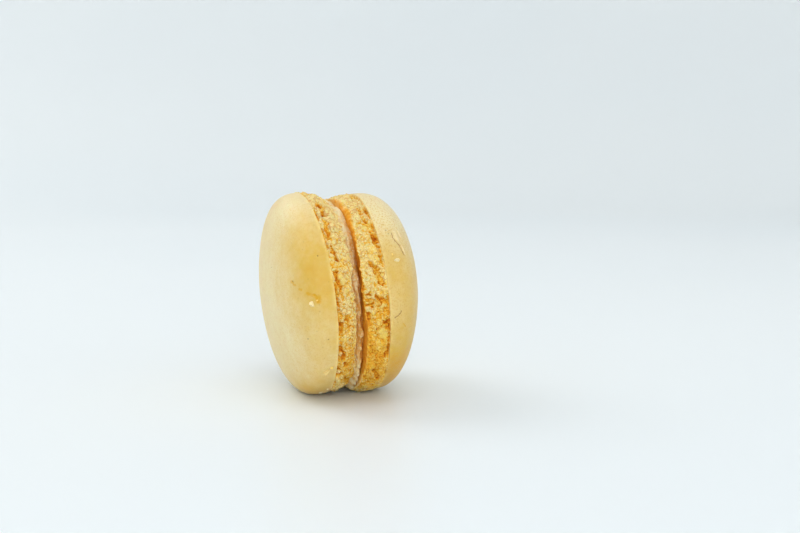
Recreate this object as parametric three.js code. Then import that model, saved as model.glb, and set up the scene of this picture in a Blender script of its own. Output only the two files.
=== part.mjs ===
// A French macaron standing on its edge.
//
// Two domed almond-meringue shells lie base to base with buttercream between them. Each shell is one
// baked piece: a smooth cap with a crisp lower edge, and under it the foot, the ragged porous band that
// the batter throws out as it rises. The shells are a little unequal, out of line and out of parallel,
// as hand-piped ones are, and the whole leans a few degrees towards the left shell.
//
// Millimetres, +Z up. The floor is z = 0 and the origin lies on it under the middle of the macaron.
// The macaron's axis runs roughly along X, and "front" is the -Y side. Angles round the axis count in
// degrees from the top towards the front, so that 90 is the front and 180 is what stands on the floor.
import * as THREE from 'three';

const SHELL_SEGMENTS = 132; // columns round each shell
const CAP_ROWS = 9; // rows of faces from a cap's edge to its top
const FOOT_ROWS = [0, 0.07, 0.19, 0.32, 0.45, 0.57, 0.67, 0.76, 0.84, 0.91, 0.97]; // shares of its height
const BASE_RINGS = [0, 0.6, 0.92]; // shares of the base's radius
const CREAM_SEGMENTS = 108;
const CREAM_EDGE_ROWS = 4;

// Each shell: where the middle of its flat base is, how far its axis rises towards +X and turns from it,
// and the sizes of its foot and cap. capPower shapes the cap: 2 is an ellipse, more is boxier.
// capShift moves the cap's top up and to the front, because caps bake lopsided.
// hollows are the foot's larger burst bubbles, each a trough between two places: [angle, share of the foot's
// height, then the other end's angle and share, width, depth]. Those of the back are scattered.
const SHELLS = [
  {
    name: 'shell_left',
    outward: -1,
    baseCentre: [-1.8, 0.1, 23.25],
    lean: 5.5,
    turn: 0,
    rimRadius: 23.15,
    baseRadius: 21.7,
    footHeight: 4.9,
    capHeight: 9.9,
    capPower: 2.9,
    capShift: { up: -1.4, front: 1.0 },
    hollows: [
      [23, 0.59, 36, 0.53, 1.6, 0.9],
      [40, 0.65, 48, 0.69, 1.5, 0.8],
      [49, 0.77, 52, 0.69, 1.3, 0.6],
      [59, 0.72, 64, 0.59, 1.4, 0.7],
      [71, 0.82, 75, 0.76, 1.7, 1],
      [76, 0.78, 80, 0.67, 1.4, 0.7],
      [81, 0.73, 86, 0.61, 1.4, 0.6],
      [83, 0.87, 89, 0.88, 1.3, 0.7],
      [91, 0.93, 96, 0.74, 1.4, 0.7],
      [100, 0.84, 106, 0.83, 1.3, 0.6],
      [114, 0.88, 123, 0.73, 1.5, 0.8],
      [129, 0.92, 136, 0.76, 1.7, 0.9],
      [141, 0.44, 150, 0.2, 1.2, 0.6],
    ],
    seed: 1,
    colour: 0xe6cf95,
  },
  {
    name: 'shell_right',
    outward: 1,
    baseCentre: [0.7, -0.7, 22.35],
    lean: 4.2,
    turn: -1.3,
    rimRadius: 22.75,
    baseRadius: 22.2,
    footHeight: 5.1,
    capHeight: 11.0,
    capPower: 2.4,
    capShift: { up: 3.6, front: 0.6 },
    hollows: [
      [27, 0.53, 32, 0.61, 1.5, 0.7],
      [27, 0.95, 30, 0.95, 1.3, 0.7],
      [32, 0.58, 38, 0.7, 1.4, 0.7],
      [50, 0.81, 53, 0.87, 1.3, 0.7],
      [54, 0.79, 57, 0.87, 1.3, 0.7],
      [63, 0.82, 68, 0.86, 1.3, 0.6],
      [66, 0.42, 72, 0.61, 1.5, 0.8],
      [74, 0.59, 77, 0.68, 1.5, 0.8],
      [77, 0.76, 80, 0.9, 1.3, 0.7],
      [84, 0.46, 87, 0.76, 1.5, 0.7],
      [86, 0.14, 91, 0, 1.4, 0.7],
      [84, 0.97, 91, 0.84, 1.1, 0.6],
      [91, 0.83, 97, 0.88, 1.4, 0.6],
      [98, 0.7, 99, 0.78, 1.2, 0.8],
      [133, 0.46, 141, 0.65, 1.2, 0.6],
    ],
    seed: 2,
    colour: 0xe4ca8c,
  },
];

// The hollows of the back: they start at an angle, keep an even average spacing and run on to the front,
// and each of the other sizes is drawn between two limits. span is in degrees, and climb is in shares.
const BACK_HOLLOWS = {
  count: 15,
  from: 166,
  spacing: 14,
  share: [0.52, 0.93],
  span: [3, 11],
  climb: [-0.15, 0.15],
  width: [1.3, 1.7],
  depth: [0.6, 0.95],
};

// The foot swells past the line from base to cap, and its relief is mostly worn into it. Near the base the
// relief has a share of its full depth, which grows with height. The broken groove lies under the cap's edge.
const FOOT = { swell: 0.25, wornIn: 0.2, freeAtBase: 0.35, freeGrowth: 2 };
const GROOVE = { depth: 0.8, share: 0.91, width: 0.08, wavelength: 4.2, kept: 0.35 };

// Relief, as wavelength and height: broad ruffles and smaller crags on the foot, slight waves on the cap.
const RUFFLE = { wavelength: 6.0, height: 0.42 };
const CRAG = { wavelength: 2.2, height: 0.5 };
const CAP_WAVE = { wavelength: 11, height: 0.16 };

// The buttercream's radius at the front and back, and what it stands out beyond that at the top and the
// bottom. It comes in from there with the cosine to the power of fall, and dips right at the top. Between two
// shares of the way to the right shell its edge falls back into a crease, which fades out near the top and
// the floor.
const CREAM = {
  name: 'filling',
  radius: 19.0,
  moreAtTop: 2.8,
  moreAtBottom: 3.0,
  fall: 1.3,
  dip: { depth: 1.3, narrowness: 20 },
  edgeBulge: 0.4,
  crease: { depth: 1.8, from: 0.5, to: 1, fade: 6 },
  flatRadius: 15.5, // inside this its faces are plain
  clearance: 0.25, // from each shell's base
  lump: { wavelength: 2.6, height: 0.5 },
  seed: 3,
  colour: 0xeee3c6,
};

const degrees = Math.PI / 180;
const lerp = THREE.MathUtils.lerp;
const MESH_ROUNDING = 0.001; // a share of a size, to tell rows apart that a mesh's 32-bit numbers round

// A repeatable random number from 0 to 1 for each set of whole numbers.
function chance(i, j, k, seed) {
  let bits = Math.imul(i, 0x1b873593) ^ Math.imul(j, 0x2545f491) ^ Math.imul(k, 0x5bd1e995);
  bits ^= Math.imul(seed, 0x68e31da4);
  bits = Math.imul(bits ^ (bits >>> 15), 0x2c1b3c6d);
  bits = Math.imul(bits ^ (bits >>> 12), 0x297a2d39);
  return ((bits ^ (bits >>> 15)) >>> 0) / 2 ** 32;
}

// Smooth noise from -height to height that changes over one wavelength.
function relief(point, { wavelength, height }, seed) {
  const scaled = point.map((value) => value / wavelength);
  const [i, j, k] = scaled.map(Math.floor);
  const [u, v, w] = scaled.map((value) => THREE.MathUtils.smoothstep(value - Math.floor(value), 0, 1));
  const edge = (dj, dk) => lerp(chance(i, j + dj, k + dk, seed), chance(i + 1, j + dj, k + dk, seed), u);
  const face = (dk) => lerp(edge(0, dk), edge(1, dk), v);
  return height * (2 * lerp(face(0), face(1), w) - 1);
}

// A shell's own directions: up across its base, front across its base, and out through its cap.
function shellAxes(shell) {
  const lean = shell.lean * degrees;
  const turn = shell.turn * degrees;
  const along = new THREE.Vector3(
    Math.cos(turn) * Math.cos(lean),
    Math.sin(turn) * Math.cos(lean),
    Math.sin(lean),
  );
  const up = new THREE.Vector3(0, 0, 1).addScaledVector(along, -along.z).normalize();
  const front = new THREE.Vector3().crossVectors(along, up);
  return { up, front, out: along.multiplyScalar(shell.outward) };
}

// The point that lies so far up, to the front and out from the middle of a shell's base.
function shellPoint(shell, up, front, out) {
  const axes = shellAxes(shell);
  return new THREE.Vector3(...shell.baseCentre)
    .addScaledVector(axes.up, up)
    .addScaledVector(axes.front, front)
    .addScaledVector(axes.out, out);
}

function backHollows(shell) {
  return Array.from({ length: BACK_HOLLOWS.count }, (_, n) => {
    const draw = (which, [low, high]) => lerp(low, high, chance(n, which, 0, shell.seed));
    const start = BACK_HOLLOWS.from + draw(0, [n, n + 1]) * BACK_HOLLOWS.spacing;
    const share = draw(1, BACK_HOLLOWS.share);
    const end = start + draw(2, BACK_HOLLOWS.span);
    const endShare = share + draw(3, BACK_HOLLOWS.climb);
    return [start, share, end, endShare, draw(4, BACK_HOLLOWS.width), draw(5, BACK_HOLLOWS.depth)];
  });
}

// How deep the hollows are at an angle and a height on the foot: each is a rounded trough.
function hollowDepth(shell, hollows, angle, height) {
  const arc = (from, to) => (((to - from + 540) % 360) - 180) * degrees * shell.rimRadius;
  return Math.max(
    0,
    ...hollows.map(([start, startShare, end, endShare, width, depth]) => {
      const trough = new THREE.Vector2(arc(start, end), (endShare - startShare) * shell.footHeight);
      const here = new THREE.Vector2(arc(start, angle), height - startShare * shell.footHeight);
      const along = THREE.MathUtils.clamp(here.dot(trough) / trough.lengthSq(), 0, 1);
      const away = here.distanceTo(trough.multiplyScalar(along)) / (width / 2);
      return depth * Math.max(0, 1 - away ** 2);
    }),
  );
}

// How deep the groove is: it comes and goes round the shell, and only part of it is kept.
function grooveDepth(shell, point, share) {
  const broken = GROOVE.kept + relief(point, { wavelength: GROOVE.wavelength, height: 1 }, shell.seed + 10);
  const nearness = Math.exp(-(((share - GROOVE.share) / GROOVE.width) ** 2));
  return GROOVE.depth * Math.max(0, broken) * nearness;
}

// The foot's radius before its relief.
function footRadius(shell, share) {
  const drop = shell.rimRadius - shell.baseRadius;
  return shell.rimRadius - drop * (1 - share) ** 2 + FOOT.swell * Math.sin(Math.PI * share);
}

// What the relief adds to the foot's radius.
function footRelief(shell, hollows, angle, share) {
  const radius = footRadius(shell, share);
  const height = share * shell.footHeight;
  const point = [radius * Math.cos(angle * degrees), radius * Math.sin(angle * degrees), height];
  const free = Math.min(1, FOOT.freeAtBase + FOOT.freeGrowth * share);
  const rough = relief(point, RUFFLE, shell.seed + 20) + relief(point, CRAG, shell.seed + 30);
  const dug = Math.max(hollowDepth(shell, hollows, angle, height), grooveDepth(shell, point, share));
  return free * (rough - FOOT.wornIn) - dug;
}

// Half a shell's section, from the middle of the base to the top of the cap, as [radius, height].
function shellOutline(shell) {
  const base = BASE_RINGS.map((share) => [share * shell.baseRadius, 0]);
  const foot = FOOT_ROWS.map((share) => [footRadius(shell, share), share * shell.footHeight]);
  const cap = Array.from({ length: CAP_ROWS + 1 }, (_, row) => {
    const rise = Math.sin((row / CAP_ROWS) * (Math.PI / 2));
    const radius = shell.rimRadius * Math.sqrt(Math.max(0, 1 - rise ** shell.capPower));
    return [radius, shell.footHeight + rise * shell.capHeight];
  });
  return [...base, ...foot, ...cap];
}

// Turns an outline of [radius, height] about +Y, and moves each vertex to where place(radius, angle,
// height) puts it. The outline of a piece with out on the -X side is turned the other way round.
function turned(outline, segments, frontSign, place) {
  const points = outline.map(([radius, height]) => new THREE.Vector2(radius, height));
  const geometry = new THREE.LatheGeometry(points, segments);
  const positions = geometry.getAttribute('position');
  for (let n = 0; n < positions.count; n += 1) {
    const [up, height, front] = [positions.getX(n), positions.getY(n), frontSign * positions.getZ(n)];
    const angle = Math.atan2(front, up) / degrees;
    const { x, y, z } = place(Math.hypot(up, front), angle, height);
    positions.setXYZ(n, x, y, z);
  }
  geometry.computeVertexNormals();
  return geometry;
}

// The cap's top slides over its edge, its skin undulates slightly, and the foot is rough between its base
// and the cap's edge, which stay true. What stands on the floor is pressed flat by it.
function shellGeometry(shell) {
  const hollows = [...shell.hollows, ...backHollows(shell)];
  return turned(shellOutline(shell), SHELL_SEGMENTS, -shell.outward, (radius, angle, height) => {
    const share = height / shell.footHeight;
    const onFoot = share < 1 - MESH_ROUNDING && radius > shell.baseRadius * (1 - MESH_ROUNDING);
    const reach = radius + (onFoot ? footRelief(shell, hollows, angle, share) : 0);
    const [up, front] = [reach * Math.cos(angle * degrees), reach * Math.sin(angle * degrees)];
    const rise = Math.max(0, (height - shell.footHeight) / shell.capHeight);
    const point = shellPoint(
      shell,
      up + shell.capShift.up * rise ** 2,
      front + shell.capShift.front * rise ** 2,
      height + rise * relief([up, front, height], CAP_WAVE, shell.seed + 40),
    );
    point.z = Math.max(point.z, 0);
    return point;
  });
}

// Half the cream's section, as [radius, share of the way from the left base to the right one]: two flat
// faces and a rounded edge.
function creamOutline() {
  const edge = Array.from({ length: CREAM_EDGE_ROWS + 1 }, (_, row) => {
    const share = row / CREAM_EDGE_ROWS;
    return [CREAM.radius + CREAM.edgeBulge * Math.sin(Math.PI * share), share];
  });
  return [[0, 0], [CREAM.flatRadius, 0], ...edge, [CREAM.flatRadius, 1], [0, 1]];
}

// How far the cream's edge stands out beyond its radius, at a cosine.
function creamBulge(rise) {
  const more = rise > 0 ? CREAM.moreAtTop : CREAM.moreAtBottom;
  const dip = CREAM.dip.depth * Math.max(0, rise) ** CREAM.dip.narrowness;
  return Math.abs(rise) ** CREAM.fall * more - dip;
}

// How far the cream's edge falls back, at a cosine and a share of the way to the right shell.
function creaseDepth(rise, share) {
  const { depth, from, to, fade } = CREAM.crease;
  return depth * (1 - Math.abs(rise) ** fade) * THREE.MathUtils.smoothstep(share, from, to);
}

// The cream's two faces lie just clear of the two bases, so it is a slight wedge. Its edge is lumpy, sunk
// between the shells at the front and back, and bulges out towards the top and the floor.
function creamGeometry(left, right) {
  const thickness = right.baseCentre[0] - left.baseCentre[0];
  return turned(creamOutline(), CREAM_SEGMENTS, -1, (radius, angle, share) => {
    const [rise, aside] = [Math.cos(angle * degrees), Math.sin(angle * degrees)];
    const onEdge = radius > CREAM.radius * (1 - MESH_ROUNDING);
    const around = [CREAM.radius * rise, CREAM.radius * aside, share * thickness];
    const lumps = relief(around, CREAM.lump, CREAM.seed);
    const reach = radius + (onEdge ? creamBulge(rise) + lumps - creaseDepth(rise, share) : 0);
    const onLeft = shellPoint(left, reach * rise, reach * aside, -CREAM.clearance);
    const onRight = shellPoint(right, reach * rise, reach * aside, -CREAM.clearance);
    return onLeft.lerp(onRight, share);
  });
}

function piece(name, geometry, colour, roughness) {
  const material = new THREE.MeshStandardMaterial({ color: colour, roughness, metalness: 0 });
  const mesh = new THREE.Mesh(geometry, material);
  mesh.name = name;
  return mesh;
}

const macaron = new THREE.Group();
for (const shell of SHELLS) {
  macaron.add(piece(shell.name, shellGeometry(shell), shell.colour, 0.7));
}
macaron.add(piece(CREAM.name, creamGeometry(...SHELLS), CREAM.colour, 0.5));

export default macaron;
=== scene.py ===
"""A French macaron standing on its edge: the looks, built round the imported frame.

Two baked shells and the buttercream between them are modelled in mesh code, each as one closed skin in
place of its CAD solid. The same named sizes as in the CAD shape them, and finer relief comes on top: the
foot's lumps, pores and beads, the cap's ripples, scuffs and cracks, and the cream's curds.

Shapes are worked out in millimetres, with the floor at z = 0 and "front" the -Y side, and turned into
metres when they become objects. Angles round the macaron's axis count in degrees from the top towards the
front, so that 90 is the front and 180 is what stands on the floor.
"""

import math

import bmesh
import bpy
import numpy as np
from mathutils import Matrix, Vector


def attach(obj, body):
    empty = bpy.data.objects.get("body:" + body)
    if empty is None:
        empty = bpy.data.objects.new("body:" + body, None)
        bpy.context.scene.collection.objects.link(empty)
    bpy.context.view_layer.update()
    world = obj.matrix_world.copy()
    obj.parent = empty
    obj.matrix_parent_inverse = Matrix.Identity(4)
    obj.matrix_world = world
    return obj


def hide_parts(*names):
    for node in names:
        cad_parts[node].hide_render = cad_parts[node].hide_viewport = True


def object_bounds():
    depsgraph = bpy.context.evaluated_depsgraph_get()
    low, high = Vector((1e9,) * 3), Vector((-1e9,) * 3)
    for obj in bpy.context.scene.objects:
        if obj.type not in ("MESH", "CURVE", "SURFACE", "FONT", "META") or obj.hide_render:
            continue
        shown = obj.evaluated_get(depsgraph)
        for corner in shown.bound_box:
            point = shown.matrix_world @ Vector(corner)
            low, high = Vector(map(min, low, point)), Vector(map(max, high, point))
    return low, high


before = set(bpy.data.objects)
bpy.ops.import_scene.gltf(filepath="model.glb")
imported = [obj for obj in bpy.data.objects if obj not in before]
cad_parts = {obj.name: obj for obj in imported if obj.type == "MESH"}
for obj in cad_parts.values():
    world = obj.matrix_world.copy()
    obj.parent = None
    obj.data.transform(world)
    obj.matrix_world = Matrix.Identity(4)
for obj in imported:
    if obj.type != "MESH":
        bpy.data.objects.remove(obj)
cad_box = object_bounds()

MM = 0.001
DEGREES = math.pi / 180

# ---- driving sizes, in millimetres

# As in the CAD. Each hollow is a trough between two places: (angle, share of the foot's height, then the
# other end's angle and share, width, depth). A wave is (wavelength, height).
SHELLS = [
    {
        "name": "shell_left",
        "outward": -1,
        "base_centre": (-1.8, 0.1, 23.25),
        "lean": 5.5,
        "turn": 0.0,
        "rim_radius": 23.15,
        "base_radius": 21.7,
        "foot_height": 4.9,
        "cap_height": 9.9,
        "cap_power": 2.9,
        "cap_shift": {"up": -1.4, "front": 1.0},
        "hollows": [
            (23, 0.59, 36, 0.53, 1.6, 0.9), (40, 0.65, 48, 0.69, 1.5, 0.8), (49, 0.77, 52, 0.69, 1.3, 0.6),
            (59, 0.72, 64, 0.59, 1.4, 0.7), (71, 0.82, 75, 0.76, 1.7, 1), (76, 0.78, 80, 0.67, 1.4, 0.7),
            (81, 0.73, 86, 0.61, 1.4, 0.6), (83, 0.87, 89, 0.88, 1.3, 0.7), (91, 0.93, 96, 0.74, 1.4, 0.7),
            (100, 0.84, 106, 0.83, 1.3, 0.6), (114, 0.88, 123, 0.73, 1.5, 0.8),
            (129, 0.92, 136, 0.76, 1.7, 0.9), (141, 0.44, 150, 0.2, 1.2, 0.6),
        ],
        "seed": 1,
    },
    {
        "name": "shell_right",
        "outward": 1,
        "base_centre": (0.7, -0.7, 22.35),
        "lean": 4.2,
        "turn": -1.3,
        "rim_radius": 22.75,
        "base_radius": 22.2,
        "foot_height": 5.1,
        "cap_height": 11.0,
        "cap_power": 2.4,
        "cap_shift": {"up": 3.6, "front": 0.6},
        "hollows": [
            (27, 0.53, 32, 0.61, 1.5, 0.7), (27, 0.95, 30, 0.95, 1.3, 0.7), (32, 0.58, 38, 0.7, 1.4, 0.7),
            (50, 0.81, 53, 0.87, 1.3, 0.7), (54, 0.79, 57, 0.87, 1.3, 0.7), (63, 0.82, 68, 0.86, 1.3, 0.6),
            (66, 0.42, 72, 0.61, 1.5, 0.8), (74, 0.59, 77, 0.68, 1.5, 0.8), (77, 0.76, 80, 0.9, 1.3, 0.7),
            (84, 0.46, 87, 0.76, 1.5, 0.7), (86, 0.14, 91, 0, 1.4, 0.7), (84, 0.97, 91, 0.84, 1.1, 0.6),
            (91, 0.83, 97, 0.88, 1.4, 0.6), (98, 0.7, 99, 0.78, 1.2, 0.8), (133, 0.46, 141, 0.65, 1.2, 0.6),
        ],
        "seed": 2,
    },
]
BACK_HOLLOWS = {
    "count": 15,
    "from": 166,
    "spacing": 14,
    "share": (0.52, 0.93),
    "span": (3, 11),
    "climb": (-0.15, 0.15),
    "width": (1.3, 1.7),
    "depth": (0.6, 0.95),
}
FOOT = {"swell": 0.25, "worn_in": 0.2, "free_at_base": 0.35, "free_growth": 2.0}
GROOVE = {"depth": 0.8, "share": 0.91, "width": 0.08, "wavelength": 4.2, "kept": 0.35}
RUFFLE = (6.0, 0.42)
CRAG = (2.2, 0.5)
CAP_WAVE = (11.0, 0.16)
CREAM = {
    "radius": 19.0,
    "more_at_top": 2.8,
    "more_at_bottom": 3.0,
    "fall": 1.3,
    "dip": {"depth": 1.3, "narrowness": 20},
    "edge_bulge": 0.4,
    "crease": {"depth": 1.8, "from": 0.5, "to": 1.0, "fade": 6},
    "lump": (2.6, 0.5),
    "seed": 3,
}

# ---- what only the looks have, in millimetres

# Ragged outlines and steep sides for every hollow, and smaller hollows in the same form.
HOLLOW_WARP = [(1.2, 0.45), (0.5, 0.25)]
STEEP = 1.15  # how steep the sides of a hollow are: 1 is a round trough
SMALL_HOLLOWS = {
    "shell_left": [
        (44, 0.92, 46, 0.9, 0.7, 0.5), (48, 0.24, 50, 0.26, 0.6, 0.4), (56, 0.76, 57, 0.72, 0.7, 0.5),
        (72, 0.63, 74, 0.58, 0.8, 0.4), (96, 0.56, 98, 0.6, 0.8, 0.4), (108, 0.4, 110, 0.36, 0.7, 0.4),
        (126, 0.55, 128, 0.5, 0.8, 0.4),
    ],
    "shell_right": [
        (47, 0.74, 49, 0.82, 1, 0.5), (59, 0.86, 62, 0.9, 1, 0.6), (78, 0, 80, 0.02, 1.1, 0.8),
        (88, 0.2, 97, 0.02, 0.8, 0.7), (81, 0.26, 83, 0.22, 0.6, 0.4), (102, 0.33, 101, 0.53, 0.5, 0.4),
        (108, 0.9, 110, 0.95, 0.8, 0.5), (116, 0.23, 118, 0.2, 0.8, 0.4), (119, 0.8, 121, 0.76, 0.9, 0.5),
        (122, 0.02, 125, 0, 1, 0.5), (137, 0.02, 139, 0.04, 1.3, 0.6), (148, 0.5, 150, 0.56, 0.9, 0.5),
    ],
}

# Finer relief. A layer of balls is (size of a cell, share of it that one fills, height per size).
LUMPS = [(1.4, 0.85, 0.22), (0.7, 0.8, 0.6), (0.42, 0.75, 0.7)]
PORES = [(1.7, 0.42, 0.8), (0.9, 0.42, 0.9), (0.5, 0.42, 0.8)]
BEADS = [(1.5, 0.75, 0.4), (0.85, 0.75, 0.55), (0.45, 0.75, 0.5)]
CURDS = [(1.6, 0.9, 0.5), (0.8, 0.8, 0.5), (0.4, 0.75, 0.4)]
SMALLEST_BALL = 0.45  # of one layer, as a share of its largest
PORE_PATCHES = (3.2, 1.0)  # of where the pores come and go
PORES_AT_BASE = 0.4  # how deep they are at the base, as a share of their depth under the cap
FOOT_OVER_RIM = 0.2  # how far the foot stands out past the cap's rim at most
CAP_RIPPLE = (2.8, 0.02)
RIPPLE_GROWTH = 6  # how fast it grows from the cap's edge
LIP_WAVE = (3.4, 0.13)
LIP_REACH = 1.5  # how far from the lip its wave dies out
LIP_PALE = 0.35  # how far over the cap the lip's pale rim fades out
LIP = [(0.07, 0.16), (0.01, 0.09), (0.0, 0.0)]  # the lip's edge: how far inside the rim, depth below its top
CEILING = [(0.15, 0.27), (0.5, 0.22), (0.85, 0.18)]  # under the lip: share of the way, depth below its top
WALL_TOP = 0.32  # how far below the lip's top the foot's wall ends
BASE_EDGE = 0.12  # radius of the rounding between a base and its foot
EDGE_REACH = 0.5  # how far from that edge the beads on it die out
OVERHANG = 0.05  # how far the edge stands out over the gap at least, with the beads on it
BROWNED = 0.5  # how far in from the edge the base is fully browned
WRAP_WAVE = (1.1, 0.35)  # of how far the browned skin reaches up the foot
WRAP_FADE = 0.5  # over what height it gives way to the crumb
CREASE_WAVE = (1.5, 0.32)  # of where the cream's crease starts

# Humps round a shell or the cream, (angle, spread, how much) each.
GROOVE_FILLED = {"shell_left": [], "shell_right": [(112, 14, 0.7)]}  # the share of it that crumb fills
CREASE_FILLED = [(50, 22, 0.8), (100, 50, 0.4)]  # how much shallower the cream's crease is
# How much rounder the edge of the base is.
SOFT_EDGES = {"shell_left": [(8, 14, 0.4)], "shell_right": [(22, 20, 1.0), (120, 30, 0.4)]}
# How much more the edge of the base stands out over the gap (above 0), or is worn back (below 0).
EDGE_SHIFTS = {
    "shell_left": [(80, 12, -0.4), (112, 24, -0.95)],
    "shell_right": [(82, 14, 0.35), (91, 5, 0.4)],
}
# How far the base's browned skin reaches up the foot.
WRAPPED = {
    "shell_left": [],
    "shell_right": [(27, 9, 0.9), (46, 12, 0.5), (96, 7, 0.5), (112, 12, 0.3), (134, 10, 0.3)],
}
# How much browner the base is near its edge: partly its browning, partly painted shade, darker where it
# faces the gap between the shells.
BROWNING_AND_GAP_SHADE = {
    "shell_left": [],
    "shell_right": [
        (24, 14, 0.25), (46, 12, 0.35), (64, 14, 0.65), (84, 12, 0.5), (106, 12, 0.35), (128, 16, 0.45),
    ],
}

# Smooth yellow patches of bare batter on the feet, (angle, share of the height, radius) each.
YELLOW = {
    "shell_left": [(74, 0.6, 0.5), (77, 0.52, 0.6), (82, 0.46, 0.5)],
    "shell_right": [(43, 0.5, 0.6), (106, 0.66, 0.9), (104, 0.55, 0.7)],
}
YELLOW_RISE = 0.2  # how far they stand out
YELLOW_SMOOTH = 0.6  # how much of the fine relief they cover
# Larger pale crumbs of the feet, in the same form.
KNOBS = {
    "shell_left": [
        (33, 0.42, 0.6), (36, 0.26, 0.5), (38, 0.52, 0.6), (41, 0.3, 0.55), (34, 0.74, 0.5), (44, 0.48, 0.5),
        (93, 0.45, 0.6), (118, 0.83, 0.35), (132, 0.85, 0.4),
    ],
    "shell_right": [
        (33, 0.35, 0.5), (37, 0.3, 0.55), (42, 0.35, 0.4), (91, 0.08, 0.6),
    ],
}
KNOB_RISE = 0.6  # how far they stand out
PATCH_REACH = 1.6  # where a patch or a knob ends, in its radii, after fading out over one of them

# How sunk a point of the foot looks sets how toasted it is, from 0 to about 1, and paints light and shade by
# its relief: what is sunk is painted darker and more orange, as shade in hollows and creases, and the knobs
# paler, as lit crests. These are the weights of its depth beyond the first "from", of its depths below its
# wide and its close surroundings, and of the knobs, which look raised.
TOAST_AND_SHADE_WEIGHTS = {"from": 0.2, "low": 0.7, "hollow": 0.5, "crease": 3.0, "knob": 0.45}
SURROUNDINGS = [(5, 4), (1, 1)]  # the wide and the close ones: rows and columns to each side

# Where the feet are more toasted (above 0) or paler (below 0): (angle, share of the foot's height, reach
# round the foot, reach across it, how much). Partly uneven toasting, partly painted shade: the humps at
# share 0 darken the bottom of the foot beside the gap between the shells, where shade falls.
TOAST_AND_SHADE = {
    "shell_left": [
        (150, 0, 5, 0.9, 0.4), (122, 0.5, 13, 3, 0.2), (30, 0.1, 6, 1.5, -0.15), (255, 0.5, 26, 6, 0.15),
    ],
    "shell_right": [
        (118, 0, 12, 0.9, 0.55), (12, 0, 6, 0.9, 0.1), (10, 0.6, 7, 2.8, -0.35), (45, 0.6, 9, 2.6, 0.06),
        (74, 0.7, 8, 1.8, 0.2), (102, 0.4, 7, 2.4, 0.12), (115, 0.65, 8, 2.4, 0.26), (140, 0.5, 9, 3, 0.3),
        (255, 0.5, 26, 6, 0.15),
    ],
}

# Marks on the caps. A spot is (angle, radius from the axis, out from the base), and a stroke is
# (spot, spot, width).
PORES_ON_CAP = {
    "shell_left": [(107, 23, 7.1), (108, 20.9, 10.7), (37, 10.1, 14), (61, 22.9, 7.1), (71, 18, 12.1)],
    "shell_right": [(47, 22.6, 7.1), (49, 22.6, 7.3)],
}
SCUFFS = {
    "shell_left": [((83.6, 22.6, 8.4), (85, 22.7, 8.4), 1.7), ((81.8, 22.2, 9.1), (83.4, 22.6, 8.5), 1)],
    "shell_right": [],
}
SCRATCHES = {
    "shell_left": [
        ((70.5, 17.7, 12.3), (71.5, 17.9, 12.2), 1.1), ((73, 18.3, 12), (74, 18.6, 11.9), 0.9),
        ((77, 19.9, 11.3), (77.5, 20.1, 11.2), 0.9), ((80, 21.2, 10.3), (83, 22.4, 8.8), 1.1),
    ],
    "shell_right": [((101, 22.3, 8), (104, 22.2, 8.9), 0.35)],
}
# Chains of spots along the cracks, and strokes for the flakes of skin that have lifted beside them.
CRACKS = {
    "shell_left": [],
    "shell_right": [
        [
            (49, 22.4, 8.1), (51.5, 22.35, 8.3), (54, 22.2, 8.6),
            (56, 22, 9.1), (59, 21.7, 9.6), (62, 21.3, 10.1),
        ],
        [(97, 22.7, 5.9), (96, 22.6, 6.7), (94, 22.4, 7.4)],
    ],
}
FLAKES = {
    "shell_left": [],
    "shell_right": [
        ((48, 22.2, 8.9), (53, 21.9, 9.2), 1.4), ((46, 21.6, 9.8), (50, 21.4, 10.2), 0.9),
        ((57, 21.5, 9.8), (61, 21, 10.4), 0.8),
    ],
}
CRACK_WIDTH = 0.4
PORE_SIZE = 0.45
LIP_SHOWN = {"shell_left": 0.8, "shell_right": 0.4}  # how much the lip's pale rim shows
GRAINY = {"shell_left": 1.0, "shell_right": 2.0}  # how much the skin's grain and mottle show

# Where the caps are paler (above 0) or more golden (below 0): (angle, radius, out, reach, how much) each.
# Partly the bake's uneven browning, partly painted light: paler near the tops, where the light falls on them,
# and more golden low down near the floor, as painted warm shade.
CAP_TONES_AND_LIGHT = {
    "shell_left": [
        (72, 22.9, 7.6, 9, -1.3), (41, 22.8, 7.7, 6, -0.5), (105, 16, 13, 10, 0.6), (110, 22.9, 7.7, 7, -0.5),
        (150, 22.4, 9.1, 6.5, -0.6), (21, 22.7, 7.8, 9, 0.7), (339, 6.8, 14.3, 12, 0.5),
        (180, 12, 14, 10, 0.4), (158, 22.6, 8.5, 4.5, -0.7),
    ],
    "shell_right": [
        (24, 22.3, 8.6, 9, 0.8), (46, 22.3, 8.6, 8, 0.4), (68, 22.7, 5.4, 5, -0.8), (78, 20, 11.2, 9, -0.4),
        (118, 22.4, 7.4, 8, -0.5), (146, 22.6, 6.5, 11, -1.8),
    ],
}

# Crumbs lying on the caps, (angle, radius from the axis, out, size, whiteness) each.
CRUMBS = {
    "shell_left": [
        (87, 22, 9.5, 1.6, 0.6), (84.5, 22.6, 8.6, 0.6, 0), (129, 23.1, 7, 1.7, 0.3), (126, 23.2, 6, 0.8, 0),
        (157, 23.1, 6.5, 0.9, 0.9), (150, 23.1, 5.6, 0.6, 0.9), (262, 21, 10.5, 1.1, 0.7),
    ],
    "shell_right": [(66, 22.4, 7.7, 1.4, 0.7), (62, 22.5, 7.2, 0.5, 0.1), (215, 21, 11, 1.2, 0.4)],
}
CRUMB_SUBDIVISIONS = 4  # of the ball that it is cut from
CRUMB_CUTS = 9  # how many flat sides a crumb has
CRUMB_CUT_DEPTHS = (0.4, 0.8)  # how far they are from its middle, as shares of its radius
CRUMB_RELIEF = (0.5, 0.12)  # in its radii
CRUMB_SINK = 0.1  # how far its middle is sunk in the cap, as a share of its radius

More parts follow.
